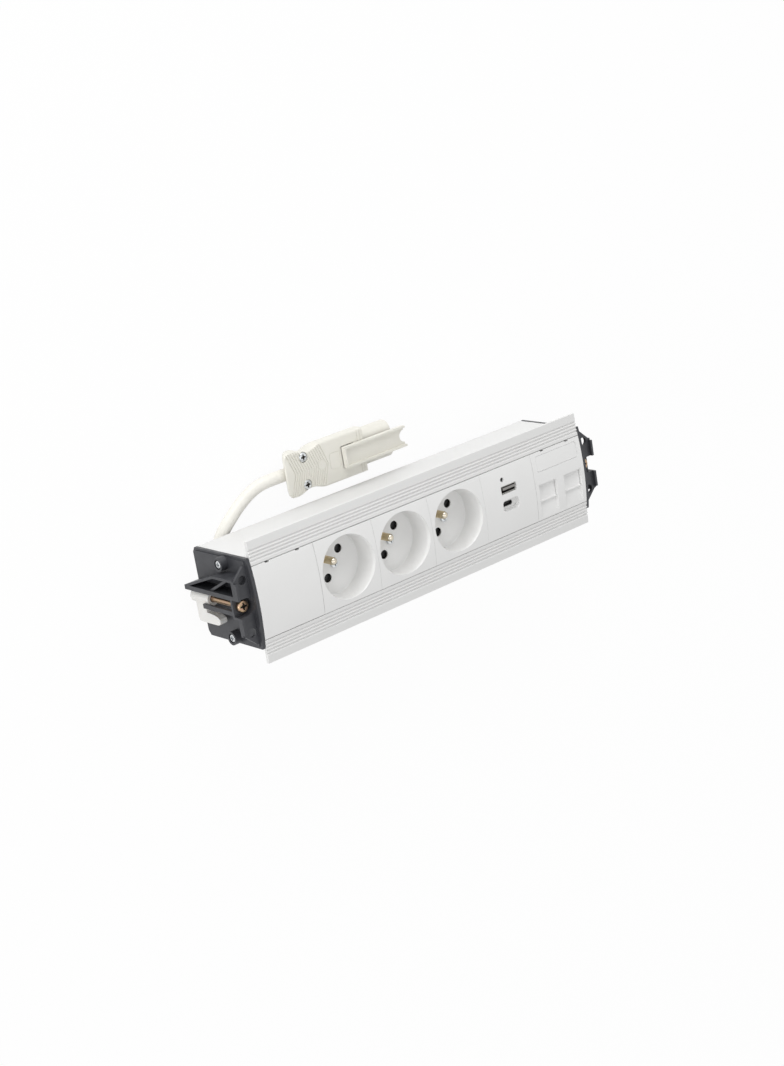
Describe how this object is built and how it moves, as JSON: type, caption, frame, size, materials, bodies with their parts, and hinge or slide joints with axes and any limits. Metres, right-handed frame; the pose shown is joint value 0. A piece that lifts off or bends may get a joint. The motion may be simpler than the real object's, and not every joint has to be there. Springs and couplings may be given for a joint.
{
  "type": "in-desk power module",
  "caption": "In-desk power module: aluminium trough with crowned socket, USB and data plates, swing-claw clamp brackets and a short lead with a flat installation connector.",
  "frame": {"origin": "centre of the module's footprint on the floor plane it stands on", "axes": "+X along the row of modules towards the data outlet, +Z out of the front plates, +Y towards the side where the lead lies"},
  "size_m": [0.2956, 0.1009, 0.0673],
  "materials": {
    "white_plate_plastic": "smooth moulded white, semi-gloss",
    "white_coated_aluminium": "white powder coat, satin",
    "black_glass_nylon": "moulded black, fine matt grain",
    "white_nylon": "moulded white, satin",
    "yellow_zinc_steel": "yellow passivated zinc",
    "bright_zinc_steel": "bright zinc",
    "nickel_brass": "nickel plated",
    "grey_inner_plastic": "moulded grey",
    "black_port_plastic": "moulded black",
    "clear_window_plastic": "clear pane over a white label",
    "cream_connector_plastic": "moulded off-white, satin",
    "cream_cord_jacket": "extruded off-white jacket"
  },
  "bodies": {
    "root": {"blank_plate": "white_plate_plastic", "bracket_screw_left_back": "bright_zinc_steel", "bracket_screw_left_front": "bright_zinc_steel", "bracket_screw_right_back": "bright_zinc_steel", "bracket_screw_right_front": "bright_zinc_steel", "connector_base": "cream_connector_plastic", "connector_cover": "cream_connector_plastic", "connector_insert": "cream_connector_plastic", "connector_pin_earth": "nickel_brass", "connector_pin_line": "nickel_brass", "connector_pin_neutral": "nickel_brass", "connector_screw_a": "bright_zinc_steel", "connector_screw_b": "bright_zinc_steel", "cord_strain_relief": "cream_cord_jacket", "data_cord_hood": "black_glass_nylon", "data_jack_left": "grey_inner_plastic", "data_jack_right": "grey_inner_plastic", "data_plate": "white_plate_plastic", "end_bracket_left": "black_glass_nylon", "end_bracket_right": "black_glass_nylon", "housing_profile": "white_coated_aluminium", "label_window": "clear_window_plastic", "mains_cord": "cream_cord_jacket", "mains_cord_hood": "black_glass_nylon", "socket_1_base": "grey_inner_plastic", "socket_1_contact_a": "nickel_brass", "socket_1_contact_b": "nickel_brass", "socket_1_earth_pin": "nickel_brass", "socket_1_front": "white_plate_plastic", "socket_1_screw": "bright_zinc_steel", "socket_2_base": "grey_inner_plastic", "socket_2_contact_a": "nickel_brass", "socket_2_contact_b": "nickel_brass", "socket_2_earth_pin": "nickel_brass", "socket_2_front": "white_plate_plastic", "socket_2_screw": "bright_zinc_steel", "socket_3_base": "grey_inner_plastic", "socket_3_contact_a": "nickel_brass", "socket_3_contact_b": "nickel_brass", "socket_3_earth_pin": "nickel_brass", "socket_3_front": "white_plate_plastic", "socket_3_screw": "bright_zinc_steel", "usb_a_shell": "bright_zinc_steel", "usb_a_tongue": "grey_inner_plastic", "usb_c_shell": "black_port_plastic", "usb_charger_body": "grey_inner_plastic", "usb_plate": "white_plate_plastic"},
    "clamp_claw_left": {"clamp_claw_left": "white_nylon"},
    "clamp_claw_right": {"clamp_claw_right": "white_nylon"},
    "clamp_nut_left": {"clamp_nut_left": "yellow_zinc_steel"},
    "clamp_nut_right": {"clamp_nut_right": "yellow_zinc_steel"},
    "clamp_screw_left": {"clamp_screw_left": "yellow_zinc_steel"},
    "clamp_screw_right": {"clamp_screw_right": "yellow_zinc_steel"},
    "connector_lever": {"connector_lever": "cream_connector_plastic"},
    "data_shutter_left": {"data_shutter_left": "white_plate_plastic"},
    "data_shutter_right": {"data_shutter_right": "white_plate_plastic"},
    "socket_1_shutter": {"socket_1_shutter": "black_port_plastic"},
    "socket_2_shutter": {"socket_2_shutter": "black_port_plastic"},
    "socket_3_shutter": {"socket_3_shutter": "black_port_plastic"}
  },
  "joints": [
    {"name": "clamp_screw_left_turn", "type": "hinge", "parent": "root", "child": "clamp_screw_left", "pos_m": [-0.142, 0, 0.0582], "axis": [0, 0, 1], "range_deg": [-11280, 0]},
    {"name": "clamp_nut_left_lift", "type": "slide", "parent": "root", "child": "clamp_nut_left", "axis": [0, 0, 1], "range_m": [0, 0.0219]},
    {"name": "clamp_claw_left_swing", "type": "hinge", "parent": "clamp_nut_left", "child": "clamp_claw_left", "pos_m": [-0.142, 0, 0.0097], "axis": [0, 0, 1], "range_deg": [-90, 0]},
    {"name": "clamp_screw_right_turn", "type": "hinge", "parent": "root", "child": "clamp_screw_right", "pos_m": [0.142, 0, 0.0582], "axis": [0, 0, 1], "range_deg": [-11280, 0]},
    {"name": "clamp_nut_right_lift", "type": "slide", "parent": "root", "child": "clamp_nut_right", "axis": [0, 0, 1], "range_m": [0, 0.0219]},
    {"name": "clamp_claw_right_swing", "type": "hinge", "parent": "clamp_nut_right", "child": "clamp_claw_right", "pos_m": [0.142, 0, 0.0097], "axis": [0, 0, 1], "range_deg": [-90, 0]},
    {"name": "data_shutter_left_slide", "type": "slide", "parent": "root", "child": "data_shutter_left", "axis": [0, 1, 0], "range_m": [0, 0.01]},
    {"name": "data_shutter_right_slide", "type": "slide", "parent": "root", "child": "data_shutter_right", "axis": [0, 1, 0], "range_m": [0, 0.01]},
    {"name": "socket_1_shutter_slide", "type": "slide", "parent": "root", "child": "socket_1_shutter", "axis": [-0.8141, 0.5807, 0], "range_m": [0, 0.0057], "stiffness_N_per_m": 60, "springref_m": -0.003},
    {"name": "socket_2_shutter_slide", "type": "slide", "parent": "root", "child": "socket_2_shutter", "axis": [-0.8141, 0.5807, 0], "range_m": [0, 0.0057], "stiffness_N_per_m": 60, "springref_m": -0.003},
    {"name": "socket_3_shutter_slide", "type": "slide", "parent": "root", "child": "socket_3_shutter", "axis": [-0.8141, 0.5807, 0], "range_m": [0, 0.0057], "stiffness_N_per_m": 60, "springref_m": -0.003},
    {"name": "connector_lever_rock", "type": "hinge", "parent": "root", "child": "connector_lever", "pos_m": [-0.0075, 0.049, 0.016], "axis": [0, -1, 0], "range_deg": [0, 6], "stiffness_Nm_per_rad": 0.08, "springref_deg": -2.86}
  ],
  "couplings": [
    {"joint": "clamp_screw_left_turn", "follows": "clamp_nut_left_lift", "rad_per_m": -8976},
    {"joint": "clamp_screw_right_turn", "follows": "clamp_nut_right_lift", "rad_per_m": -8976}
  ]
}
